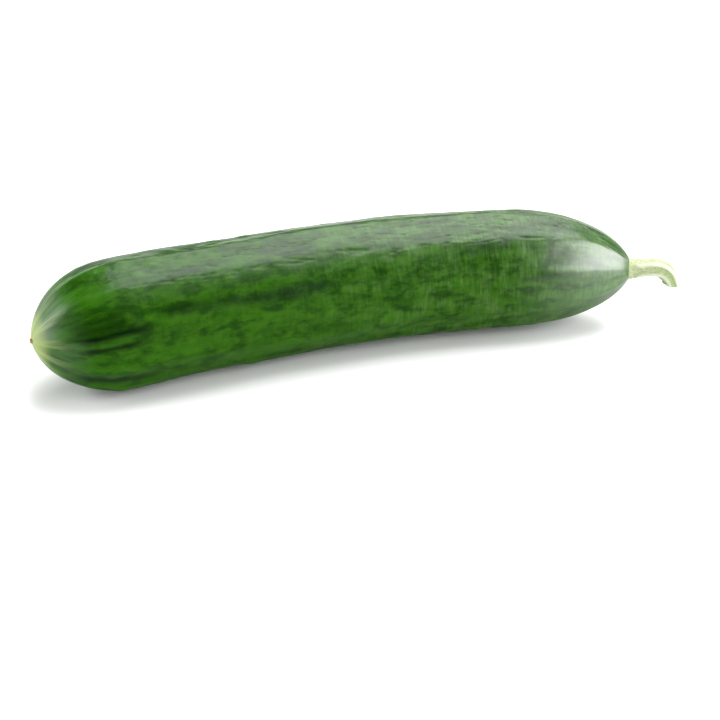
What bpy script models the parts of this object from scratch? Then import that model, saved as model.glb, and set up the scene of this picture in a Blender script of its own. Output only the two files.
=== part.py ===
"""A whole slicing cucumber, as picked, lying on its side.

The fruit is one grown solid with low ribs, warts and lumps. Its stalk, cut from the vine, stands in a
socket at the stem end, and the corky scar that the flower left sits in a pit at the blossom end.

Frame: +X runs from the blossom end towards the stem end, +Z is up, and the origin is on the flat spot
that the fruit rests on, under the middle of its axis. All sizes are in metres. A place on the skin is
given by its share of the fruit's length, from 0 at the blossom end to 1 at the stem end, and by its
angle round the axis, from 0 on the +Y side through a quarter turn on top.
"""

import math

import bmesh
import bpy
import numpy as np
from mathutils import Vector

# The fruit's axis, a level curve that bows towards +Y and hooks at the stem end
FRUIT_LENGTH = 0.250
AXIS_TURN = -0.5362  # radians of heading from the blossom end to the stem end
AXIS_HOOK = -0.7058  # radians, four times the extra turn that each end has over the middle
AXIS_STEPS = 600

# The fruit's thickness along that axis, before its ends are rounded off
BLOSSOM_RADIUS = 0.0254
STEM_RADIUS = 0.0239
BELLY_SWELL = 0.0002
BLOSSOM_ROUND = (0.157, 0.611)  # share of the length that it takes, and how pointed it is
STEM_ROUND = (0.241, 0.584)
ROUND_EASE = 2.5  # how gently the body runs into either round end

# The flat spot along the belly, pressed by the surface below, and the smooth skin beside it
FLAT_DEPTH = 0.0003
BELLY_ANGLE = 1.5 * math.pi
BELLY_SPREAD = math.radians(20)

# The ribs, which are strongest where they draw together at either end
RIBS = 10
TOP_RIB_ANGLE = math.radians(88)
RIB_HEIGHT = 0.00028
CREST_HEIGHT = 0.00022
CREST_SHARPNESS = 3.5
RIB_CROWDING = 0.6  # how unevenly they are spaced
RIB_STRENGTH = 0.8
BLOSSOM_RIB_STRENGTH = (0.8, 0.22)  # what is added at this end, and over what share of the length
STEM_RIB_STRENGTH = (0.4, 0.18)
RIB_WANDER = 0.05  # radians that a rib strays sideways

# Waves over the skin, each as (radians along the fruit, turns round it, phase, weight)
RIB_STRAYS = ((9.1, 2, 0.0, 1.0), (17.3, -1, 1.1, 0.6))
LUMPS = ((21.0, 3, 0.0, 0.5), (13.7, -2, 2.0, 0.5), (34.0, 5, 0.4, 0.3), (27.0, -4, 1.3, 0.3))
LUMP_HEIGHT = 0.00028

# The warts, in a golden spiral along the fruit
WARTS = 130
WART_SPAN = (0.07, 0.91)
WART_RADIUS = (0.0028, 0.0055)
WART_HEIGHT = (0.00010, 0.00036)
WART_STRAY = (0.3, 5.3)  # radians that a wart strays from the spiral, and how fast that varies
GOLDEN_ANGLE = math.pi * (3 - math.sqrt(5))

# The socket that the stalk stands in, and the pit of the scar
SOCKET_RADIUS = 0.0046
SOCKET_DEPTH = 0.0024
PIT_RADIUS = 0.0017
PIT_DEPTH = 0.0010
GAP = 0.0003
POLE_REACH = 0.1  # the share of the length in which either rim lies

# The stalk. Shares here are of its own length, from its root in the socket.
STALK_BEYOND = 0.0227  # how far its axis runs past the socket's rim
STALK_ROOT_RADIUS = 0.0042
STALK_MIDDLE_RADIUS = 0.0037
STALK_TIP_RADIUS = 0.0032
STALK_WAIST = 0.45
STALK_RIDGES = 5
STALK_RIDGE_HEIGHT = 0.00030
STALK_RIDGE_RISE = (0.10, 0.30)
STALK_TWIST = 2.0  # radians
STALK_LIFT = math.radians(8)  # how far it rises before it droops
STALK_BEND = (0.40, 0.93)
STALK_DROOP = math.radians(76)
STALK_CUT_SLANT = math.radians(22)
STALK_AXIS_STEPS = 60

# The blossom scar, as (height over its root, radius) up to its crown
SCAR_OUTLINE = ((0.0, 0.00115), (0.0007, 0.00125), (0.0012, 0.00110), (0.0014, 0.00065))
SCAR_CROWN = 0.0015
SCAR_LOBES = 5
SCAR_LOBE_DEPTH = 0.08

# How finely each surface is divided
FRUIT_SIDES = 72
FRUIT_RINGS = 64
RING_CROWDING = 0.6  # how much closer the rings are at the ends
STALK_SIDES = 30
STALK_RINGS = 22
SCAR_SIDES = 15
SMOOTH_BELOW = math.radians(35)  # edges flatter than this are shaded smooth


def clear_scene():
    for old in list(bpy.data.objects):
        bpy.data.objects.remove(old, do_unlink=True)


def between(limits, share):
    return limits[0] + (limits[1] - limits[0]) * share


def smooth_step(limits, value):
    share = np.clip((value - limits[0]) / (limits[1] - limits[0]), 0, 1)
    return share * share * (3 - 2 * share)


def waves(table, share, angle):
    return sum(
        weight * np.sin(along * share + turns * angle + phase) for along, turns, phase, weight in table
    )


def axis_table():
    """Shares of the length, plan positions and headings of the fruit's axis, its chord laid along X."""
    share = np.linspace(0, 1, AXIS_STEPS + 1)
    heading = AXIS_TURN * (share - 0.5) + AXIS_HOOK * (share - 0.5) ** 2
    middle = (heading[1:] + heading[:-1]) / 2
    step = FRUIT_LENGTH / AXIS_STEPS
    x = np.concatenate([[0], np.cumsum(np.cos(middle) * step)])
    y = np.concatenate([[0], np.cumsum(np.sin(middle) * step)])
    chord = math.atan2(y[-1], x[-1])
    turned_x = x * math.cos(chord) + y * math.sin(chord)
    turned_y = y * math.cos(chord) - x * math.sin(chord)
    half = AXIS_STEPS // 2
    return share, turned_x - turned_x[half], turned_y - turned_y[half], heading - chord


AXIS = axis_table()


def body_radius(share):
    """The fruit's radius before its ends are rounded off."""
    return between((BLOSSOM_RADIUS, STEM_RADIUS), share) + BELLY_SWELL * 4 * share * (1 - share)


def end_rounding(share):
    """From 0 at either pole to 1 along the body."""
    rounding = 1
    for from_pole, (length, power) in ((share, BLOSSOM_ROUND), (1 - share, STEM_ROUND)):
        rounding = rounding * (1 - (1 - np.clip(from_pole / length, 0, 1)) ** ROUND_EASE) ** power
    return rounding


def ribs(share, angle):
    """Low waves round the fruit with a narrow crest on each."""
    from_top = angle - TOP_RIB_ANGLE
    strayed = from_top + RIB_WANDER * waves(RIB_STRAYS, share, angle)
    wave = np.cos(RIBS * strayed + RIB_CROWDING * np.sin(3 * from_top))
    strength = RIB_STRENGTH
    for from_pole, (extra, reach) in ((share, BLOSSOM_RIB_STRENGTH), (1 - share, STEM_RIB_STRENGTH)):
        strength = strength + extra * np.exp(-((from_pole / reach) ** 2))
    return strength * (RIB_HEIGHT * wave + CREST_HEIGHT * np.exp(CREST_SHARPNESS * (wave - 1)))


def warts(share, angle):
    raised = np.zeros_like(share)
    for i in range(WARTS):
        wart_share = between(WART_SPAN, (i + 0.5) / WARTS)
        wart_angle = i * GOLDEN_ANGLE + WART_STRAY[0] * math.sin(WART_STRAY[1] * i)
        size = (i * math.sqrt(2)) % 1
        along = (share - wart_share) * FRUIT_LENGTH
        turn = np.mod(angle - wart_angle + math.pi, 2 * math.pi) - math.pi
        distance = np.hypot(along, turn * body_radius(wart_share)) / between(WART_RADIUS, size)
        raised += between(WART_HEIGHT, size) * np.clip(1 - distance**2, 0, 1) ** 2
    return raised


def skin_radius(share, angle):
    relief = ribs(share, angle) + LUMP_HEIGHT * waves(LUMPS, share, angle) + warts(share, angle)
    pressed = np.exp(-(((angle - BELLY_ANGLE) / BELLY_SPREAD) ** 2))
    return end_rounding(share) * (body_radius(share) + relief * (1 - pressed))


def share_where_round(radius, pole):
    """The share of the length, close to one pole, at which the fruit without its relief has this radius."""
    near, far = pole, abs(pole - POLE_REACH)
    while abs(far - near) * FRUIT_LENGTH > 1e-7:
        middle = (near + far) / 2
        if body_radius(middle) * end_rounding(middle) < radius:
            near = middle
        else:
            far = middle
    return far


def axis_place(share):
    """The axis's point and its forward, sideways and upward directions."""
    x, y, heading = (float(np.interp(share, AXIS[0], column)) for column in AXIS[1:])
    centre = Vector((x, y, float(body_radius(share)) - FLAT_DEPTH))
    forward = Vector((math.cos(heading), math.sin(heading), 0))
    return centre, forward, Vector((-forward.y, forward.x, 0)), Vector((0, 0, 1))


def ring(centre, sideways, upward, radii, angles):
    return [
        centre + sideways * (r * math.cos(a)) + upward * (r * math.sin(a)) for r, a in zip(radii, angles)
    ]


def loft(rings, first_pole, last_pole):
    """One closed surface through rings of equally many points, with a fan to a pole at either end."""
    mesh = bmesh.new()
    loops = [[mesh.verts.new(point) for point in points] for points in rings]
    start, end = mesh.verts.new(first_pole), mesh.verts.new(last_pole)
    count = len(rings[0])
    for i in range(count):
        after = (i + 1) % count
        mesh.faces.new((start, loops[0][after], loops[0][i]))
        mesh.faces.new((end, loops[-1][i], loops[-1][after]))
        for near, far in zip(loops, loops[1:]):
            mesh.faces.new((near[i], near[after], far[after], far[i]))
    bmesh.ops.recalc_face_normals(mesh, faces=mesh.faces)
    return mesh


def slice_off(mesh, point, outward):
    """Cuts away what lies beyond a plane and closes the cut with a flat face."""
    everything = mesh.verts[:] + mesh.edges[:] + mesh.faces[:]
    bmesh.ops.bisect_plane(
        mesh, geom=everything, dist=1e-7, plane_co=point, plane_no=outward, clear_outer=True
    )
    bmesh.ops.holes_fill(mesh, edges=[edge for edge in mesh.edges if edge.is_boundary])


def make_material(name, colour, roughness):
    material = bpy.data.materials.new(name)
    material.use_nodes = True
    surface = material.node_tree.nodes["Principled BSDF"]
    surface.inputs["Base Color"].default_value = (*colour, 1)
    surface.inputs["Roughness"].default_value = roughness
    surface.inputs["Metallic"].default_value = 0
    return material


def finish_object(name, mesh, material):
    data = bpy.data.meshes.new(name)
    mesh.to_mesh(data)
    mesh.free()
    data.materials.append(material)
    data.shade_smooth()
    data.set_sharp_from_angle(angle=SMOOTH_BELOW)
    bpy.context.collection.objects.link(bpy.data.objects.new(name, data))


def make_fruit():
    angles = np.linspace(0, 2 * math.pi, FRUIT_SIDES, endpoint=False)
    pit_rim = share_where_round(PIT_RADIUS, pole=0)
    socket_rim = share_where_round(SOCKET_RADIUS, pole=1)
    even = np.linspace(0, 1, FRUIT_RINGS)
    crowded = (1 - np.cos(math.pi * even)) / 2
    shares = between((pit_rim, socket_rim), between((even, crowded), RING_CROWDING))

    rings = []
    for share in shares:
        centre, _, sideways, upward = axis_place(share)
        radii = skin_radius(np.full_like(angles, share), angles)
        rings.append(ring(centre, sideways, upward, radii, angles))

    centre, forward, sideways, upward = axis_place(pit_rim)
    pit_floor = centre + forward * PIT_DEPTH
    rings.insert(0, ring(pit_floor, sideways, upward, [PIT_RADIUS] * FRUIT_SIDES, angles))
    centre, forward, sideways, upward = axis_place(socket_rim)
    socket_floor = centre - forward * SOCKET_DEPTH
    rings.append(ring(socket_floor, sideways, upward, [SOCKET_RADIUS] * FRUIT_SIDES, angles))

    mesh = loft(rings, pit_floor, socket_floor)
    slice_off(mesh, Vector((0, 0, 0)), Vector((0, 0, -1)))
    finish_object("fruit", mesh, make_material("cucumber_skin", (0.030, 0.125, 0.014), 0.28))


def stalk_direction(share, forward):
    droop = STALK_DROOP * float(smooth_step(STALK_BEND, share))
    droop -= STALK_LIFT * math.sin(math.pi * min(share / STALK_BEND[1], 1))
    return forward * math.cos(droop) - Vector((0, 0, 1)) * math.sin(droop)


def stalk_point(share, root, forward):
    step = share / STALK_AXIS_STEPS
    point = root.copy()
    for i in range(STALK_AXIS_STEPS):
        point += stalk_direction((i + 0.5) * step, forward) * (step * (STALK_BEYOND + SOCKET_DEPTH))
    return point


def stalk_radii(share, angles):
    """The stalk is round in its socket, ridged beyond it, and tapers to where it was cut."""
    radius = between((STALK_ROOT_RADIUS, STALK_MIDDLE_RADIUS), smooth_step((0, STALK_WAIST), share))
    radius += (STALK_TIP_RADIUS - STALK_MIDDLE_RADIUS) * smooth_step((STALK_WAIST, 1), share)
    ridge = STALK_RIDGE_HEIGHT * smooth_step(STALK_RIDGE_RISE, share)
    return radius + ridge * np.cos(STALK_RIDGES * angles + STALK_TWIST * share)


def make_stalk():
    angles = np.linspace(0, 2 * math.pi, STALK_SIDES, endpoint=False)
    rim_centre, forward, sideways, _ = axis_place(share_where_round(SOCKET_RADIUS, pole=1))
    root = rim_centre - forward * (SOCKET_DEPTH - GAP)
    rings = []
    for share in np.linspace(0, 1, STALK_RINGS):
        upper = stalk_direction(share, forward).cross(sideways)
        rings.append(
            ring(stalk_point(share, root, forward), sideways, upper, stalk_radii(share, angles), angles)
        )
    tip, direction = stalk_point(1, root, forward), stalk_direction(1, forward)
    mesh = loft(rings, root, tip)
    facing = direction * math.cos(STALK_CUT_SLANT) - direction.cross(sideways) * math.sin(STALK_CUT_SLANT)
    slice_off(mesh, tip - direction * (STALK_TIP_RADIUS * math.tan(STALK_CUT_SLANT)), facing)
    finish_object("stem", mesh, make_material("stalk_skin", (0.52, 0.62, 0.30), 0.55))


def make_scar():
    angles = np.linspace(0, 2 * math.pi, SCAR_SIDES, endpoint=False)
    rim_centre, forward, sideways, upward = axis_place(share_where_round(PIT_RADIUS, pole=0))
    root = rim_centre + forward * (PIT_DEPTH - GAP)
    lobes = 1 + SCAR_LOBE_DEPTH * (np.cos(SCAR_LOBES * angles) - 1)
    rings = [
        ring(root - forward * height, sideways, upward, radius * lobes, angles)
        for height, radius in SCAR_OUTLINE
    ]
    mesh = loft(rings, root, root - forward * SCAR_CROWN)
    finish_object("blossom_scar", mesh, make_material("scar_cork", (0.50, 0.28, 0.10), 0.8))


clear_scene()
make_fruit()
make_stalk()
make_scar()
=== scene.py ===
"""A whole cucumber lying on a pale table in soft studio light.

The sizes are the real ones, in metres. +X runs from the blossom end towards the stem end, +Z is up, and
the origin is on the table, under the middle of the fruit's axis.
"""

import math

import bpy
from mathutils import Euler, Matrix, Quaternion, Vector


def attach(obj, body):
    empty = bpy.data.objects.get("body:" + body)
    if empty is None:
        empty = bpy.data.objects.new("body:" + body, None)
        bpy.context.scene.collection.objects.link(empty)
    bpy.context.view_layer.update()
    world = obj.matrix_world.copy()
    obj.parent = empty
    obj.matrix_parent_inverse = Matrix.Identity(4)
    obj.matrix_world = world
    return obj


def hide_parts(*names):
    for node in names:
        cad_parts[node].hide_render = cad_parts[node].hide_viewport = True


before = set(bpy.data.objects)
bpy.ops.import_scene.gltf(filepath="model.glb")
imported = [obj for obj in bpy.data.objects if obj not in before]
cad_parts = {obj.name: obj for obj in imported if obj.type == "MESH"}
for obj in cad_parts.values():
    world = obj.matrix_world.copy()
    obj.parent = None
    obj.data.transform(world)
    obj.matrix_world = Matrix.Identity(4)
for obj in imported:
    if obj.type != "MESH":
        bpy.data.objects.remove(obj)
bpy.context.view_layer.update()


# The camera. It looks down at the fruit's middle from a little to the blossom end's side, through a long
# lens, and a small shift frames the fruit where the photograph has it.

PICTURE_PIXELS = 720
SENSOR_WIDTH = 36.0
FOCAL_PIXELS = 1817.0
AIM_PIXEL = (333.9, 289.2)  # where the point that the camera looks at lies in the picture
AIM = Vector((0, 0, 0.0225))
CAMERA_AZIMUTH = math.radians(15.16)
CAMERA_ELEVATION = math.radians(27)
CAMERA_DISTANCE = 0.7358


def in_view_frame(right, away, up):
    """A point given as the camera's level view has it: to its right, away from it, and up."""
    turn = CAMERA_AZIMUTH
    return Vector(
        (right * math.cos(turn) + away * math.sin(turn), away * math.cos(turn) - right * math.sin(turn), up)
    )


def look(made, place, aim, turn=0):
    """Puts a camera or light at its place, facing its aim, turned this far round its own axis."""
    facing = (aim - place).to_track_quat("-Z", "Y") @ Quaternion((0, 0, 1), math.radians(turn))
    made.location = place
    made.rotation_euler = facing.to_euler()
    bpy.context.collection.objects.link(made)


camera = bpy.data.objects.new("camera", bpy.data.cameras.new("camera"))
camera.data.sensor_width = SENSOR_WIDTH
camera.data.lens = SENSOR_WIDTH * FOCAL_PIXELS / PICTURE_PIXELS
camera.data.shift_x = (PICTURE_PIXELS / 2 - AIM_PIXEL[0]) / PICTURE_PIXELS
camera.data.shift_y = (AIM_PIXEL[1] - PICTURE_PIXELS / 2) / PICTURE_PIXELS
level_distance = CAMERA_DISTANCE * math.cos(CAMERA_ELEVATION)
height = CAMERA_DISTANCE * math.sin(CAMERA_ELEVATION)
look(camera, AIM + in_view_frame(0, -level_distance, height), AIM)
bpy.context.scene.camera = camera
bpy.context.scene.view_settings.view_transform = "Standard"


# The light: a wide softbox over the fruit, a little behind it and turned across it, another past each end,
# and weak light from all round. Each place is (right, away, up) of the fruit as the camera sees it.


def softbox(name, place, size, radiance, turn=0):
    data = bpy.data.lights.new(name, "AREA")
    data.shape = "RECTANGLE"
    data.size, data.size_y = size
    data.energy = radiance * math.pi * size[0] * size[1]
    look(bpy.data.objects.new(name, data), in_view_frame(*place), AIM, turn)


softbox("top_softbox", (0.23, 0.43, 1.0), (1.55, 0.88), 6.0, turn=-57)
softbox("stem_end_softbox", (1.06, -0.28, 0.48), (1.36, 0.96), 5.9)
softbox("blossom_end_softbox", (-1.19, 0.05, 0.42), (1.20, 0.84), 5.0)

STUDIO_RADIANCE = 0.34

world = bpy.data.worlds.new("studio")
bpy.context.scene.world = world
world.use_nodes = True
world.node_tree.nodes["Background"].inputs["Color"].default_value = (1, 1, 1, 1)
world.node_tree.nodes["Background"].inputs["Strength"].default_value = STUDIO_RADIANCE


# The fruit. Skin and flesh grew as one body, bowed to one side, with ten low ribs that draw together at its
# ends, warts in a spiral between them, and creases in a waxy, mottled, dark green skin. It is grown here
# along its axis by the same rule as the solid, finer, with the creases added.

FRUIT_LENGTH = 0.250
AXIS_TURN = -0.5362  # radians of heading from the blossom end to the stem end
AXIS_HOOK = -0.7058  # radians, four times the extra turn that each end has over the middle
AXIS_STEPS = 600
BLOSSOM_RADIUS = 0.0254
STEM_RADIUS = 0.0239
BELLY_SWELL = 0.0002
BLOSSOM_ROUND = (0.157, 0.611)  # share of the length that it takes, and how pointed it is
STEM_ROUND = (0.241, 0.584)
ROUND_EASE = 2.5
FLAT_DEPTH = 0.0003
BELLY_ANGLE = 1.5 * math.pi
BELLY_SPREAD = math.radians(20)
TOP_RIB_ANGLE = math.radians(88)
CREST_SHARPNESS = 3.5
RIB_CROWDING = 0.6
RIB_STRENGTH = 0.8
BLOSSOM_RIB_STRENGTH = (0.8, 0.22)  # what is added at this end, and over what share of the length
STEM_RIB_STRENGTH = (0.4, 0.18)
RIB_WANDER = 0.05
RIB_STRAYS = ((9.1, 2, 0.0, 1.0), (17.3, -1, 1.1, 0.6))  # (radians along, turns round, phase, weight)
LUMPS = ((21.0, 3, 0.0, 0.5), (13.7, -2, 2.0, 0.5), (34.0, 5, 0.4, 0.3), (27.0, -4, 1.3, 0.3))
WART_SPAN = (0.07, 0.91)
WART_RADIUS = (0.0028, 0.0055)
WART_HEIGHT = (0.00010, 0.00036)
WART_STRAY = (0.3, 5.3)
GOLDEN_ANGLE = math.pi * (3 - math.sqrt(5))
FURROW_SHADE_STREAKS = (  # painted shade along the furrows between the ribs: (angle and half its width in degrees, first and last share of the length, depth)
    (162, 4.5, 0.040, 0.19, 0.95),
    (153, 5.0, 0.035, 0.16, 0.75),
    (175, 3.0, 0.045, 0.17, 0.9),
    (144, 5.0, 0.030, 0.15, 0.6),
    (153, 6.0, 0.15, 0.52, 0.6),
    (212, 5.0, 0.040, 0.20, 0.8),
    (246, 6.0, 0.050, 0.27, 0.9),
    (282, 4.0, 0.040, 0.18, 0.7),
    (318, 6.0, 0.045, 0.25, 0.9),
    (355, 4.5, 0.040, 0.20, 0.8),
    (38, 6.0, 0.050, 0.26, 0.9),
    (68, 3.5, 0.050, 0.16, 0.5),
    (166, 3.0, 0.780, 0.93, 0.5),
    (104, 2.5, 0.840, 0.95, 0.6),
    (30, 4.0, 0.800, 0.94, 0.6),
    (236, 4.0, 0.790, 0.94, 0.6),
    (312, 4.0, 0.810, 0.94, 0.6),
)
PIT_RADIUS = 0.0017
SOCKET_RADIUS = 0.0046
FRUIT_RINGS = 322
FRUIT_SIDES = 296
CLOSING_RINGS = 3  # how many rings close each end
RING_CROWDING = 0.6
WELD_DISTANCE = 1e-6


class Wire:
    """A socket of a node tree. Arithmetic on it adds Math nodes, or Vector Math nodes on a vector."""

    def __init__(self, socket):
        self.socket = socket

    @staticmethod
    def node(tree, kind, settings, inputs, output=0):
        """Adds a node by its type, its settings, which are set first, and its sockets' values or links."""
        made = tree.nodes.new(kind)
        for name, value in settings.items():
            setattr(made, name, value)
        for name, value in inputs.items():
            wires = value if isinstance(value, list) else [value] if isinstance(value, Wire) else []
            for wire in wires:
                tree.links.new(wire.socket, made.inputs[name])
            if not wires:
                made.inputs[name].default_value = value
        return Wire(made.outputs[output])

    def output(self, name):
        """Another output of the node that this wire comes from."""
        return Wire(self.socket.node.outputs[name])

    def math(self, operation, *terms):
        kind = "ShaderNodeVectorMath" if self.socket.type == "VECTOR" else "ShaderNodeMath"
        terms = {i: term for i, term in enumerate((self, *terms))}
        return Wire.node(self.socket.id_data, kind, {"operation": operation}, terms)

    def __add__(self, other):
        return self.math("ADD", other)

    __radd__ = __add__

    def __mul__(self, other):
        if self.socket.type == "VECTOR":
            settings, inputs = {"operation": "SCALE"}, {"Vector": self, "Scale": other}
            return Wire.node(self.socket.id_data, "ShaderNodeVectorMath", settings, inputs)
        return self.math("MULTIPLY", other)

    __rmul__ = __mul__

    def __neg__(self):
        return self * -1

    def __sub__(self, other):
        return self.math("SUBTRACT", other)

    def __rsub__(self, other):
        return -self + other

    def __truediv__(self, other):
        return self.math("DIVIDE", other)

    def __pow__(self, power):
        return self.math("POWER", power)

    def __mod__(self, other):
        return self.math("FLOORED_MODULO", other)

    def squared(self):
        return self * self

    def distance(self, other):
        """How far this point is from another."""
        settings, inputs = {"operation": "DISTANCE"}, {0: self, 1: other}
        return Wire.node(self.socket.id_data, "ShaderNodeVectorMath", settings, inputs, "Value")

    def clipped(self, low=0.0, high=1.0):
        return self.math("MAXIMUM", low).math("MINIMUM", high)

    def eased(self, start, end):
        """From 0 at start to 1 at end, gently."""
        share = ((self - start) * (1 / (end - start))).clipped()
        return share * share * (3 - 2 * share)

    def noise(self, scale, detail=2.0, roughness=0.5, distortion=0.0):
        """Smooth noise round 0.5, with this many waves to a unit of this vector."""
        inputs = {"Vector": self, "Scale": scale, "Detail": detail}
        inputs |= {"Roughness": roughness, "Distortion": distortion}
        return Wire.node(self.socket.id_data, "ShaderNodeTexNoise", {}, inputs)


def combine(tree, x, y, z):
    return Wire.node(tree, "ShaderNodeCombineXYZ", {}, {"X": x, "Y": y, "Z": z})


def stretched(straight, lengths):
    """A place on a straightened piece, scaled to waves of these lengths along it and round it."""
    along, around = lengths
    return straight.math("MULTIPLY", (1 / around, 1 / around, 1 / along))


def between(limits, share):
    return limits[0] + (limits[1] - limits[0]) * share


def waves(table, share, angle):
    return sum(
        weight * (along * share + turns * angle + phase).math("SINE")
        for along, turns, phase, weight in table
    )


def body_radius(share):
    """The fruit's radius before its ends are rounded off, for a number or a wire."""
    return between((BLOSSOM_RADIUS, STEM_RADIUS), share) + BELLY_SWELL * 4 * share * (1 - share)


def round_at(from_pole, end):
    """The rounding close to one pole, for a number."""
    return (1 - (1 - min(from_pole / end[0], 1)) ** ROUND_EASE) ** end[1]


def share_from_pole(radius, end, at_pole):
    """How far from a pole, as a share of the length, the fruit without its relief has this radius."""
    near, far = 0.0, 0.1
    while (far - near) * FRUIT_LENGTH > 1e-7:
        middle = (near + far) / 2
        if body_radius(abs(at_pole - middle)) * round_at(middle, end) < radius:
            near = middle
        else:
            far = middle
    return far


PIT_RIM = share_from_pole(PIT_RADIUS, BLOSSOM_ROUND, 0)
SOCKET_RIM = 1 - share_from_pole(SOCKET_RADIUS, STEM_ROUND, 1)


def fruit_axis():
    """The axis's points and its headings, at even steps of its length, with its chord laid along X."""
    headings, points, heading_of = [], [Vector((0, 0, 0))], []
    step = FRUIT_LENGTH / AXIS_STEPS
    for i in range(AXIS_STEPS + 1):
        from_middle = i / AXIS_STEPS - 0.5
        heading_of.append(AXIS_TURN * from_middle + AXIS_HOOK * from_middle**2)
    for before, after in zip(heading_of, heading_of[1:]):
        headings.append((before + after) / 2)
        points.append(points[-1] + Vector((math.cos(headings[-1]), math.sin(headings[-1]), 0)) * step)
    chord = math.atan2(points[-1].y, points[-1].x)
    turn = Euler((0, 0, -chord)).to_matrix()
    middle = points[AXIS_STEPS // 2]
    placed = []
    for i, point in enumerate(points):
        place = turn @ (point - middle)
        place.z = body_radius(i / AXIS_STEPS) - FLAT_DEPTH
        placed.append(place)
    return placed, [heading - chord for heading in heading_of]


def line_object(name, points):
    """An object that holds an axis as a line of edges, for a Geometry Nodes tree to grow a piece along."""
    mesh = bpy.data.meshes.new(name)
    mesh.from_pydata(points, [(i, i + 1) for i in range(len(points) - 1)], [])
    made = bpy.data.objects.new(name, mesh)
    bpy.context.collection.objects.link(made)
    return made


def new_tree(name, sizes):
    """A Geometry Nodes tree with one geometry in and out, and a named input for each size."""
    tree = bpy.data.node_groups.new(name, "GeometryNodeTree")
    tree.interface.new_socket("Geometry", in_out="INPUT", socket_type="NodeSocketGeometry")
    tree.interface.new_socket("Geometry", in_out="OUTPUT", socket_type="NodeSocketGeometry")
    for size, value in sizes.items():
        kind = "NodeSocketInt" if isinstance(value, int) else "NodeSocketFloat"
        tree.interface.new_socket(size, in_out="INPUT", socket_type=kind)
    group = tree.nodes.new("NodeGroupInput")
    return tree, {socket.name: Wire(socket) for socket in group.outputs if socket.name}


def tube_grid(tree, rings, sides, closing):
    """A grid to be rolled into a tube, with each point's ring from 0 to 1, its angle, and how far its
    ring is open: 1 along the tube, and down to 0 where the last rings close either end."""
    square = {"Size X": 1.0, "Size Y": 1.0, "Vertices X": rings, "Vertices Y": sides + 1}
    grid = Wire.node(tree, "GeometryNodeMeshGrid", {}, square)
    place = Wire.node(tree, "GeometryNodeInputPosition", {}, {})
    across = Wire.node(tree, "ShaderNodeSeparateXYZ", {}, {"Vector": place})
    ring = (across + 0.5) * (rings - 1)
    angle = (across.output("Y") + 0.5) * (2 * math.pi)
    along = ((ring - closing) / (rings - 1 - 2 * closing)).clipped()
    opened = (ring / closing).math("MINIMUM", (rings - 1 - ring) / closing).clipped()
    return grid, along, angle, opened


def along_line(tree, line, along, angle, radius, back=0.0):
    """The place of each point of a tube that follows a line. The angle is 0 on the line's level left."""
    curve = Wire.node(tree, "GeometryNodeMeshToCurve", {}, {"Mesh": line})
    sample = {"Curves": curve, "Factor": along}
    centre = Wire.node(tree, "GeometryNodeSampleCurve", {"mode": "FACTOR"}, sample, 1)
    forward = centre.output("Tangent")
    level = combine(tree, 0.0, 0.0, 1.0).math("CROSS_PRODUCT", forward).math("NORMALIZE")
    upper = forward.math("CROSS_PRODUCT", level)
    outward = level * angle.math("COSINE") + upper * angle.math("SINE")
    return centre + forward * back + outward * radius


def named(tree, name):
    """A number that was stored on the geometry."""
    return Wire.node(tree, "GeometryNodeInputNamedAttribute", {"data_type": "FLOAT"}, {"Name": name})


def place_on(tree, geometry, place):
    return Wire.node(tree, "GeometryNodeSetPosition", {}, {"Geometry": geometry, "Position": place})


def store(tree, geometry, name, value, kind="FLOAT"):
    settings = {"data_type": kind, "domain": "POINT"}
    inputs = {"Geometry": geometry, "Name": name, "Value": value}
    return Wire.node(tree, "GeometryNodeStoreNamedAttribute", settings, inputs)


def finish_tree(tree, geometry, material):
    """Ends the tree in one plain mesh with its material."""
    geometry = Wire.node(tree, "GeometryNodeRealizeInstances", {}, {"Geometry": geometry})
    geometry = Wire.node(tree, "GeometryNodeSetMaterial", {}, {"Geometry": geometry, "Material": material})
    end = tree.nodes.new("NodeGroupOutput")
    tree.links.new(geometry.socket, end.inputs[0])


def weld(tree, geometry):
    """Closes a tube's seam and its poles."""
    inputs = {"Geometry": geometry, "Distance": WELD_DISTANCE}
    return Wire.node(tree, "GeometryNodeMergeByDistance", {}, inputs)


def grow(piece, tree, sizes, sharp_above=math.radians(40)):
    """Runs the tree on a piece and keeps its result as the piece's plain mesh."""
    modifier = piece.modifiers.new(tree.name, "NODES")
    modifier.node_group = tree
    sockets = [item for item in tree.interface.items_tree if item.in_out == "INPUT"]
    identifiers = {socket.name: socket.identifier for socket in sockets}
    for size, value in sizes.items():
        modifier[identifiers[size]] = value
    graph = bpy.context.evaluated_depsgraph_get()
    mesh = bpy.data.meshes.new_from_object(
        piece.evaluated_get(graph), preserve_all_data_layers=True, depsgraph=graph
    )
    piece.modifiers.clear()
    piece.data = mesh
    mesh.shade_smooth()
    mesh.set_sharp_from_angle(angle=sharp_above)


def new_material(name):
    """A material's tree and its Principled shader."""
    material = bpy.data.materials.new(name)
    material.use_nodes = True
    return material, material.node_tree, material.node_tree.nodes["Principled BSDF"]


def plug(tree, shader, values):
    for name, value in values.items():
        if isinstance(value, Wire):
            tree.links.new(value.socket, shader.inputs[name])
        else:
            shader.inputs[name].default_value = value


def attribute(tree, name, output="Fac"):
    return Wire.node(tree, "ShaderNodeAttribute", {"attribute_name": name}, {}, output)


def mix(tree, share, first, second):
    """A colour between two others."""
    settings = {"data_type": "RGBA"}
    first, second = (c if isinstance(c, Wire) else (*c, 1) for c in (first, second))
    return Wire.node(tree, "ShaderNodeMix", settings, {0: share, 6: first, 7: second}, 2)


def bump(tree, height, distance, below=None):
    inputs = {"Height": height, "Distance": distance, "Strength": 1.0}
    if below:
        inputs["Normal"] = below
    return Wire.node(tree, "ShaderNodeBump", {}, inputs)


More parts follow.
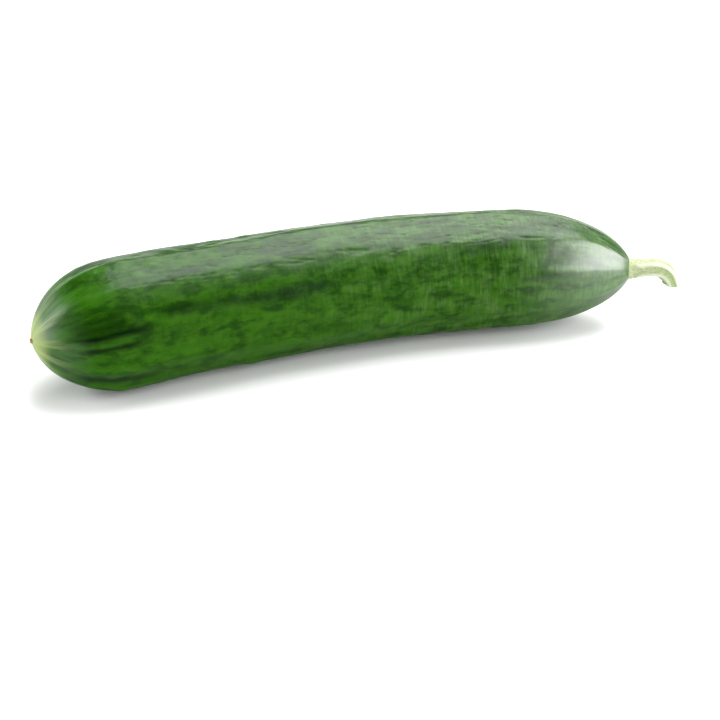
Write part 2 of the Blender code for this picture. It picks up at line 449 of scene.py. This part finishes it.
PATCH_WAVES = (0.022, 0.008)  # metres along the fruit and round it, as in the next lines
MOTTLE_WAVES = (0.0045, 0.0028)
STREAK_WAVES = (0.030, 0.0012)
STROKE_WAVES = (0.0011, 0.0065)
DEEP_WAVES = (0.0100, 0.0050)
GRAIN_WAVES = (0.0008, 0.0028)
PORE_WAVES = (0.0007, 0.0007)
DARK_GREEN = (0.0056, 0.032, 0.0005)
MIDDLE_GREEN = (0.0165, 0.070, 0.0014)
PAINTED_BOUNCE_GREEN = (0.0215, 0.086, 0.0019)
STROKE_GREEN = (0.0240, 0.094, 0.0030)
SHEEN_PAINT_GREEN = (0.105, 0.165, 0.065)
MOTTLE_GREEN = (0.034, 0.116, 0.0042)
FRESH_GREEN = (0.028, 0.130, 0.003)
DEEP_GREEN = (0.0030, 0.0220, 0.0006)
FURROW_SHADE_GREEN = (0.0004, 0.0065, 0.0003)
PALE_RIB_GREEN = (0.185, 0.275, 0.075)
PALE_TIP_GREEN = (0.280, 0.355, 0.115)
WART_GREEN = (0.040, 0.120, 0.007)
GRAIN_HEIGHT = 0.00006
PORE_HEIGHT = 0.000014
SKIN_IOR = 1.12  # far below a real skin's, so that the bare skin hardly mirrors the pale table
WAX_IOR = 2.0  # above a real wax's: a thin cover of it shines as the photograph does
WAX_ROUGHNESS = 0.32
TOP_WAX = (0.12, 0.27)  # at the blossom end and at the stem end
STEM_END_WAX = 0.98
BLOSSOM_END_WAX = 0.34


def skin_material():
    material, tree, shader = new_material("cucumber_skin")
    straight = attribute(tree, "straight", "Vector")
    share = attribute(tree, "share")
    lower = attribute(tree, "lower")
    patches = stretched(straight, PATCH_WAVES).noise(1.0, 3.0, 0.6)
    mottle = stretched(straight, MOTTLE_WAVES).noise(1.0, 4.0, 0.6)
    streaks = stretched(straight, STREAK_WAVES).noise(1.0, 3.0, 0.6)
    strokes = stretched(straight, STROKE_WAVES).noise(1.0, 3.0, 0.6)
    # Painted sheen: pale grey-green strokes, more of them towards the stem end, in place of a haze of
    # reflected light
    painted_sheen = strokes.eased(0.30, 0.75) * patches.eased(0.30, 0.60) * share.eased(0.30, 0.75)
    fresh = share.eased(0.20, 0.05) * patches.eased(0.25, 0.60)
    deep = stretched(straight, DEEP_WAVES).noise(1.0, 3.0, 0.6).eased(0.46, 0.68)
    # Painted shade: near-black bands along the furrows between the ribs, broken up by the streak noise
    dark = attribute(tree, "dark_streak") * (0.65 + streaks * 0.7).clipped()
    pale = attribute(tree, "rib").eased(0.35, 0.85) * share.eased(0.048, 0.004) * streaks.eased(0.30, 0.60)

    green = mix(tree, patches.eased(0.35, 0.65), DARK_GREEN, MIDDLE_GREEN)
    for cover, colour in (
        # Painted light: the lower side a lighter green, in place of light thrown up from the table
        (lower * (0.25 + 0.40 * patches), PAINTED_BOUNCE_GREEN),
        (strokes.eased(0.45, 0.72) * 0.35, STROKE_GREEN),
        (painted_sheen * 0.42, SHEEN_PAINT_GREEN),
        (mottle.eased(0.40, 0.72) * 0.45, MOTTLE_GREEN),
        (fresh * 0.45, FRESH_GREEN),
        (deep * 0.70, DEEP_GREEN),
        (dark, FURROW_SHADE_GREEN),
        (pale * 0.75, PALE_RIB_GREEN),
        (share.eased(0.021, 0.002) * 0.85, PALE_TIP_GREEN),
        (attribute(tree, "wart").eased(0.35, 1.0) * 0.25, WART_GREEN),
    ):
        green = mix(tree, cover, green, colour)

    stem_end = share.eased(0.50, 0.97)
    top_wax = attribute(tree, "upper") * between(TOP_WAX, share) * share.eased(0.04, 0.16)
    end_wax = STEM_END_WAX * share.eased(0.76, 0.97)
    end_wax = end_wax.math("MAXIMUM", BLOSSOM_END_WAX * share.eased(0.08, 0.03))
    end_wax = end_wax * (1 - 0.45 * lower - 0.55 * attribute(tree, "crown"))
    grain = stretched(straight, GRAIN_WAVES).noise(1.0, 2.0, 0.5)
    pores = stretched(straight, PORE_WAVES).noise(1.0, 2.0, 0.5)
    normal = bump(tree, grain * (0.25 + 2.4 * stem_end), GRAIN_HEIGHT)
    look_of_skin = {
        "Base Color": green,
        "Roughness": 0.24 + 0.14 * mottle + 0.10 * lower + 0.12 * stem_end,
        "Normal": bump(tree, pores, PORE_HEIGHT, normal),
        "IOR": SKIN_IOR,
        "Coat Weight": top_wax.math("MAXIMUM", end_wax),
        "Coat Roughness": WAX_ROUGHNESS,
        "Coat IOR": WAX_IOR,
    }
    plug(tree, shader, look_of_skin)
    return material


CRINKLE_WAVES = (0.007, 0.0026)  # metres along the fruit and round it, as in the next lines
CREASE_WAVES = (0.026, 0.0052)
PUCKER_WAVES = (0.0085, 0.0090)
GRIT_WAVES = (0.0016, 0.0030)
CREASE_WIDTH = 0.05  # how far the noise may be from its middle, inside a crease
CREASED_ANGLE = TOP_RIB_ANGLE + 0.25
FRUIT_SIZES = {
    "Ribs": 10,
    "Rib Height": 0.00028,
    "Crest Height": 0.00022,
    "Lump Height": 0.00028,
    "Warts": 130,
    "Crease Depth": 0.00032,
    "Pucker Height": 0.00022,
    "Grit Height": 0.00010,
}


def skin_tree():
    tree, size = new_tree("grown_skin", FRUIT_SIZES)
    grid, along, angle, opened = tube_grid(tree, FRUIT_RINGS, FRUIT_SIDES, CLOSING_RINGS)
    crowded = (1 - (math.pi * along).math("COSINE")) * 0.5
    share = between((PIT_RIM, SOCKET_RIM), along + (crowded - along) * RING_CROWDING)
    around = combine(tree, angle.math("COSINE"), angle.math("SINE"), 0.0)
    straight = around * body_radius(share) + combine(tree, 0.0, 0.0, share * FRUIT_LENGTH)

    # Ribs
    from_top = angle - TOP_RIB_ANGLE
    strayed = from_top + RIB_WANDER * waves(RIB_STRAYS, share, angle)
    wave = (size["Ribs"] * strayed + RIB_CROWDING * (3 * from_top).math("SINE")).math("COSINE")
    strength = RIB_STRENGTH
    for from_pole, (extra, reach) in ((share, BLOSSOM_RIB_STRENGTH), (1 - share, STEM_RIB_STRENGTH)):
        strength = extra * (-(from_pole / reach).squared()).math("EXPONENT") + strength
    crest = (CREST_SHARPNESS * (wave - 1)).math("EXPONENT")
    relief = strength * (size["Rib Height"] * wave + size["Crest Height"] * crest)
    relief = relief + size["Lump Height"] * waves(LUMPS, share, angle)

    # Warts, each no wider than leaves room for the nearest other
    index = Wire.node(tree, "GeometryNodeInputIndex", {}, {})
    wart_share = between(WART_SPAN, (index + 0.5) / size["Warts"])
    wart_angle = index * GOLDEN_ANGLE + WART_STRAY[0] * (index * WART_STRAY[1]).math("SINE")
    wart_around = combine(tree, wart_angle.math("COSINE"), wart_angle.math("SINE"), 0.0)
    wart_place = wart_around * body_radius(wart_share) + combine(tree, 0.0, 0.0, wart_share * FRUIT_LENGTH)
    points = Wire.node(tree, "GeometryNodePoints", {}, {"Count": size["Warts"], "Position": wart_place})
    place = Wire.node(tree, "GeometryNodeInputPosition", {}, {})
    neighbour = Wire.node(tree, "GeometryNodeIndexOfNearest", {}, {"Position": place})
    there = {"Value": place, "Index": neighbour}
    other = Wire.node(tree, "GeometryNodeFieldAtIndex", {"data_type": "FLOAT_VECTOR"}, there)
    room = place.distance(other) / 2
    spread = (index * math.sqrt(2)).math("FRACT")
    points = store(tree, points, "wart_size", spread)
    points = store(tree, points, "wart_radius", between(WART_RADIUS, spread).math("MINIMUM", room))
    looked_for = {"Geometry": points, "Sample Position": straight}
    nearest = Wire.node(tree, "GeometryNodeSampleNearest", {"domain": "POINT"}, looked_for)

    def of_nearest(value, kind="FLOAT"):
        inputs = {"Geometry": points, "Value": value, "Index": nearest}
        return Wire.node(tree, "GeometryNodeSampleIndex", {"data_type": kind, "domain": "POINT"}, inputs)

    distance = straight.distance(of_nearest(place, "FLOAT_VECTOR"))
    wart = (1 - (distance / of_nearest(named(tree, "wart_radius"))).squared()).clipped().squared()
    relief = relief + between(WART_HEIGHT, of_nearest(named(tree, "wart_size"))) * wart

    # Creases along the top, a pucker over the whole skin, and grit towards the stem end
    crinkle = stretched(straight, CRINKLE_WAVES).noise(1.0, 2.0, 0.5) - 0.5
    crease = stretched(straight, CREASE_WAVES).noise(1.0, 2.0, 0.5, 0.4) - 0.5
    crease = (1 - crease.math("ABSOLUTE") / CREASE_WIDTH).clipped()
    pucker = stretched(straight, PUCKER_WAVES).noise(1.0, 1.0, 0.5) - 0.5
    inside = share.eased(0.03, 0.12) * share.eased(0.990, 0.94)
    creased = (angle - CREASED_ANGLE).math("COSINE").eased(0.80, 0.98)
    relief = relief - size["Crease Depth"] * crease.squared() * creased
    relief = relief + size["Pucker Height"] * 2 * inside * (pucker + 0.34 * crinkle * (0.15 + creased))
    grit = stretched(straight, GRIT_WAVES).noise(1.0, 2.0, 0.5) - 0.5
    relief = relief + size["Grit Height"] * share.eased(0.60, 0.97) * grit

    # The flat strip under the belly, the rounded ends, and no point of it below the table
    pressed = (-((angle - BELLY_ANGLE) / BELLY_SPREAD).squared()).math("EXPONENT")
    rounding = 1
    for from_pole, (length, power) in ((share, BLOSSOM_ROUND), (1 - share, STEM_ROUND)):
        rounding = (1 - (1 - (from_pole / length).clipped()) ** ROUND_EASE) ** power * rounding
    radius = rounding * (body_radius(share) + relief * (1 - pressed)) * opened
    on_table = along_line(tree, size["Geometry"], share, angle, radius).math("MAXIMUM", (-1.0, -1.0, 0.0))

    # Dark streaks: painted shade along the furrows between the ribs
    dark = 0.0
    for middle, width, first, last, depth in FURROW_SHADE_STREAKS:
        fade = (last - first) * 0.4
        within = share.eased(first, first + fade / 2) * share.eased(last, last - fade)
        offset = (strayed + TOP_RIB_ANGLE - math.radians(middle) + math.pi) % (2 * math.pi) - math.pi
        dark = within * (-(offset / math.radians(width)).squared()).math("EXPONENT") * depth + dark

    height = angle.math("SINE")
    grid = store(tree, grid, "straight", straight, "FLOAT_VECTOR")
    grid = store(tree, grid, "share", share)
    grid = store(tree, grid, "dark_streak", dark.clipped())
    grid = store(tree, grid, "lower", height.eased(0.62, 0.0))
    grid = store(tree, grid, "upper", height.eased(0.58, 0.84))
    grid = store(tree, grid, "crown", height.eased(0.80, 0.98))
    grid = store(tree, grid, "rib", wave * 0.5 + 0.5)
    grid = store(tree, grid, "wart", wart)
    grid = weld(tree, place_on(tree, grid, on_table))
    finish_tree(tree, grid, skin_material())
    return tree


axis_points, axis_headings = fruit_axis()
fruit = line_object("cucumber_fruit", axis_points)
grow(fruit, skin_tree(), FRUIT_SIZES)
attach(fruit, "root")
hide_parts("fruit")


# The stalk. A pale, ridged, fibrous stem that grew out of the fruit's socket, droops where the vine held
# it, and was cut there at a slant. Short soft bristles stand on it, mostly between its ridges.

SOCKET_DEPTH = 0.0024
GAP = 0.0003
STALK_BEYOND = 0.0227
STALK_LENGTH = STALK_BEYOND + SOCKET_DEPTH
STALK_ROOT_RADIUS = 0.0042
STALK_MIDDLE_RADIUS = 0.0037
STALK_TIP_RADIUS = 0.0032
STALK_WAIST = 0.45
STALK_RIDGE_RISE = (0.10, 0.30)
STALK_TWIST = 2.0
STALK_LIFT = math.radians(8)
STALK_BEND = (0.40, 0.93)
STALK_DROOP = math.radians(76)
STALK_CUT_SLANT = math.radians(22)
STALK_FLARE = (0.00035, 0.05)  # how far it widens at the rim, and over what share of its length
STALK_CUT = 0.76  # the share of its length from which its rings lean over towards the cut
STALK_STEPS = 120
STALK_RINGS = 150
STALK_SIDES = 120
STALK_CLOSING = 12
STALK_RIM = (SOCKET_DEPTH - GAP) / STALK_LENGTH
BRISTLE_WIDTH = 0.32  # the radius of its foot, as a share of its length
BRISTLE_SCALE = (0.5, 1.3)
STALK_SIZES = {
    "Ridges": 5,
    "Ridge Height": 0.00030,
    "Ruffle Height": 0.00014,
    "Cut Depth": 0.0006,
    "Bristle Density": 3.2e6,
    "Bristle Length": 0.0006,
}


def smooth_step(limits, value):
    share = min(max((value - limits[0]) / (limits[1] - limits[0]), 0), 1)
    return share * share * (3 - 2 * share)


def fruit_place(share):
    """A point of the fruit's axis and its level direction there."""
    i = min(int(share * AXIS_STEPS), AXIS_STEPS - 1)
    part = share * AXIS_STEPS - i
    heading = between(axis_headings[i : i + 2], part)
    return axis_points[i].lerp(axis_points[i + 1], part), Vector((math.cos(heading), math.sin(heading), 0))


def stalk_axis():
    rim, forward = fruit_place(SOCKET_RIM)
    points = [rim - forward * (SOCKET_DEPTH - GAP)]
    for i in range(STALK_STEPS):
        share = (i + 0.5) / STALK_STEPS
        droop = STALK_DROOP * smooth_step(STALK_BEND, share)
        droop -= STALK_LIFT * math.sin(math.pi * min(share / STALK_BEND[1], 1))
        direction = forward * math.cos(droop) - Vector((0, 0, 1)) * math.sin(droop)
        points.append(points[-1] + direction * (STALK_LENGTH / STALK_STEPS))
    return points


STALK_GRAIN_WAVES = (0.0009, 0.0005)  # metres along the stalk and round it
FIBRE_WAVES = (0.0060, 0.0004)
RUFFLE_SCALE = (1400.0, 1400.0, 500.0)  # waves to a metre
STALK_GREEN = (0.260, 0.320, 0.140)
STALK_PALE_GREEN = (0.440, 0.485, 0.300)
BEND_GREEN = (0.150, 0.230, 0.065)
RIDGE_WHITE = (0.590, 0.610, 0.470)
BRISTLE_GREEN = (0.540, 0.580, 0.290)
PITH_GREEN = (0.390, 0.410, 0.130)
PITH_PALE_GREEN = (0.600, 0.630, 0.270)
FIBRE_HEIGHT = 0.00012


def stalk_material():
    material, tree, shader = new_material("stalk_skin")
    straight = attribute(tree, "straight", "Vector")
    grain = stretched(straight, STALK_GRAIN_WAVES).noise(1.0, 3.0, 0.6)
    fibres = stretched(straight, FIBRE_WAVES).noise(1.0, 2.0, 0.5)
    green = mix(tree, grain.eased(0.35, 0.65), STALK_GREEN, STALK_PALE_GREEN)
    green = mix(tree, attribute(tree, "share").eased(0.40, 0.80) * 0.60, green, BEND_GREEN)
    ridge = attribute(tree, "ridge").eased(0.45, 0.95) * (0.55 + 0.45 * fibres)
    green = mix(tree, ridge, green, RIDGE_WHITE)
    green = mix(tree, attribute(tree, "bristle").eased(0.10, 0.90), green, BRISTLE_GREEN)
    pith = mix(tree, grain.eased(0.30, 0.70), PITH_GREEN, PITH_PALE_GREEN)
    look_of_stalk = {
        "Base Color": mix(tree, attribute(tree, "cut").eased(0.10, 0.60), green, pith),
        "Roughness": 0.50 + 0.20 * grain,
        "Normal": bump(tree, fibres + grain, FIBRE_HEIGHT),
        "IOR": 1.45,
        "Subsurface Weight": 0.15,
        "Subsurface Radius": (0.8, 1.0, 0.4),
        "Subsurface Scale": 0.0010,
    }
    plug(tree, shader, look_of_stalk)
    return material


def stalk_tree():
    tree, size = new_tree("grown_stalk", STALK_SIZES)
    grid, along, angle, opened = tube_grid(tree, STALK_RINGS, STALK_SIDES, STALK_CLOSING)
    around = combine(tree, angle.math("COSINE"), angle.math("SINE"), 0.0)
    straight = around * STALK_MIDDLE_RADIUS * opened + combine(tree, 0.0, 0.0, along * STALK_LENGTH)

    radius = STALK_ROOT_RADIUS + (STALK_MIDDLE_RADIUS - STALK_ROOT_RADIUS) * along.eased(0, STALK_WAIST)
    radius = radius + (STALK_TIP_RADIUS - STALK_MIDDLE_RADIUS) * along.eased(STALK_WAIST, 1)
    radius = radius + STALK_FLARE[0] * (-((along - STALK_RIM) / STALK_FLARE[1]).squared()).math("EXPONENT")
    wave = (size["Ridges"] * angle + STALK_TWIST * along).math("COSINE")
    ribbed = along.eased(*STALK_RIDGE_RISE)
    ruffle = straight.math("MULTIPLY", RUFFLE_SCALE).noise(1.0, 2.0, 0.5)
    radius = radius + ribbed * (size["Ridge Height"] * wave + size["Ruffle Height"] * 2 * (ruffle - 0.5))
    radius = radius * opened

    end = along.eased(STALK_CUT, 1)
    sunk = size["Cut Depth"] * (1 - opened) * (along - 0.5).math("SIGN").clipped()
    torn = size["Cut Depth"] * (ruffle - 0.5)
    back = end * (torn - (STALK_TIP_RADIUS - radius * angle.math("SINE")) * math.tan(STALK_CUT_SLANT)) - sunk
    place = along_line(tree, size["Geometry"], along, angle, radius, back)

    stalk = store(tree, grid, "straight", straight, "FLOAT_VECTOR")
    stalk = store(tree, stalk, "share", along)
    stalk = store(tree, stalk, "ridge", (wave * 0.5 + 0.5) * ribbed)
    stalk = store(tree, stalk, "cut", 1 - opened)
    stalk = weld(tree, place_on(tree, stalk, place))

    # Bristles
    length = size["Bristle Length"]
    cone = {"Vertices": 4, "Radius Bottom": length * BRISTLE_WIDTH, "Depth": length}
    bristle = Wire.node(tree, "GeometryNodeMeshCone", {}, cone)
    own_place = Wire.node(tree, "GeometryNodeInputPosition", {}, {})
    height = Wire.node(tree, "ShaderNodeSeparateXYZ", {}, {"Vector": own_place})
    bristle = store(tree, bristle, "bristle", height.output("Z") / length + 0.5)
    share = named(tree, "share")
    bare = (share - STALK_RIM - 0.02).math("MINIMUM", 0.985 - share)
    density = size["Bristle Density"] * (1.1 - named(tree, "ridge"))
    spread = {"Mesh": stalk, "Selection": bare, "Density": density, "Seed": 4}
    points = Wire.node(tree, "GeometryNodeDistributePointsOnFaces", {}, spread)
    scales = {2: BRISTLE_SCALE[0], 3: BRISTLE_SCALE[1], "Seed": 5}
    random = Wire.node(tree, "FunctionNodeRandomValue", {"data_type": "FLOAT"}, scales, 1)
    placed = {"Points": points, "Instance": bristle, "Rotation": points.output("Rotation")}
    bristles = Wire.node(tree, "GeometryNodeInstanceOnPoints", {}, placed | {"Scale": random})
    joined = Wire.node(tree, "GeometryNodeJoinGeometry", {}, {"Geometry": [stalk, bristles]})
    finish_tree(tree, joined, stalk_material())
    return tree


stalk = line_object("cucumber_stalk", stalk_axis())
grow(stalk, stalk_tree(), STALK_SIZES, math.radians(55))
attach(stalk, "root")
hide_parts("stem")


# The blossom scar. The nub that the flower left as it dropped off: dead tissue, dry, corky and lobed, that
# is grown into a small pit in the fruit's tip.

PIT_DEPTH = 0.0010
SCAR_CROWN = 0.0015
SCAR_RADIUS = 0.00125
SCAR_TAPER = 0.85
SCAR_DIMPLE = 0.0002
SCAR_RINGS = 60
SCAR_SIDES = 90
SCAR_CLOSING = 8
SCAR_SIZES = {"Lobes": 5, "Lobe Depth": 0.08, "Crumble": 0.00016}


def scar_axis():
    rim, forward = fruit_place(PIT_RIM)
    root = rim + forward * (PIT_DEPTH - GAP)
    return [root - forward * (SCAR_CROWN * i / 10) for i in range(11)]


CRUMB_SCALE = 2500.0  # waves to a metre
CRACK_SCALE = 900.0
DARK_CORK = (0.240, 0.120, 0.040)
TAN_CORK = (0.540, 0.330, 0.140)
CRACK_BROWN = (0.080, 0.032, 0.010)
CRUMB_HEIGHT = 0.00015


def scar_material():
    material, tree, shader = new_material("scar_cork")
    place = Wire.node(tree, "ShaderNodeTexCoord", {}, {}, "Object")
    crumbs = place.noise(CRUMB_SCALE, 4.0, 0.7)
    cracks = place.noise(CRACK_SCALE, 3.0, 0.6, 1.0)
    tan = mix(tree, crumbs.eased(0.30, 0.70), DARK_CORK, TAN_CORK)
    look_of_cork = {
        "Base Color": mix(tree, cracks.eased(0.58, 0.70), tan, CRACK_BROWN),
        "Roughness": 0.75 + 0.2 * crumbs,
        "Normal": bump(tree, crumbs - cracks, CRUMB_HEIGHT),
    }
    plug(tree, shader, look_of_cork)
    return material


def scar_tree():
    tree, size = new_tree("grown_scar", SCAR_SIZES)
    grid, along, angle, opened = tube_grid(tree, SCAR_RINGS, SCAR_SIDES, SCAR_CLOSING)
    around = combine(tree, angle.math("COSINE"), angle.math("SINE"), along)
    crumble = around.noise(3.5, 3.0, 0.6) - 0.5
    lobes = 1 + size["Lobe Depth"] * ((size["Lobes"] * angle).math("COSINE") - 1)
    radius = SCAR_RADIUS * (1 - SCAR_TAPER * along**4) ** 0.5 * lobes + size["Crumble"] * 2 * crumble
    sunk = (1 - opened) * (along - 0.5).math("SIGN").clipped() * SCAR_DIMPLE
    back = size["Crumble"] * crumble * along - sunk
    place = along_line(tree, size["Geometry"], along, angle, radius * opened, back)
    finish_tree(tree, weld(tree, place_on(tree, grid, place)), scar_material())
    return tree


scar = line_object("cucumber_blossom_scar", scar_axis())
grow(scar, scar_tree(), SCAR_SIZES, math.radians(60))
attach(scar, "root")
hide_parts("blossom_scar")


# The table. A plain, pale, matt top, flat and level, that the fruit lies on, and so wide that the camera
# doesn't see its edge.

TABLE_SIZE = 24.0
TABLE_GREY = (0.84, 0.84, 0.84, 1)
TABLE_ROUGHNESS = 0.7

half = TABLE_SIZE / 2
corners = [(-half, -half, 0), (half, -half, 0), (half, half, 0), (-half, half, 0)]
floor_mesh = bpy.data.meshes.new("table_top")
floor_mesh.from_pydata(corners, [], [(0, 1, 2, 3)])
floor = bpy.data.objects.new("table_top", floor_mesh)
bpy.context.collection.objects.link(floor)
floor_material, floor_tree, floor_shader = new_material("pale_table")
plug(floor_tree, floor_shader, {"Base Color": TABLE_GREY, "Roughness": TABLE_ROUGHNESS})
floor_mesh.materials.append(floor_material)
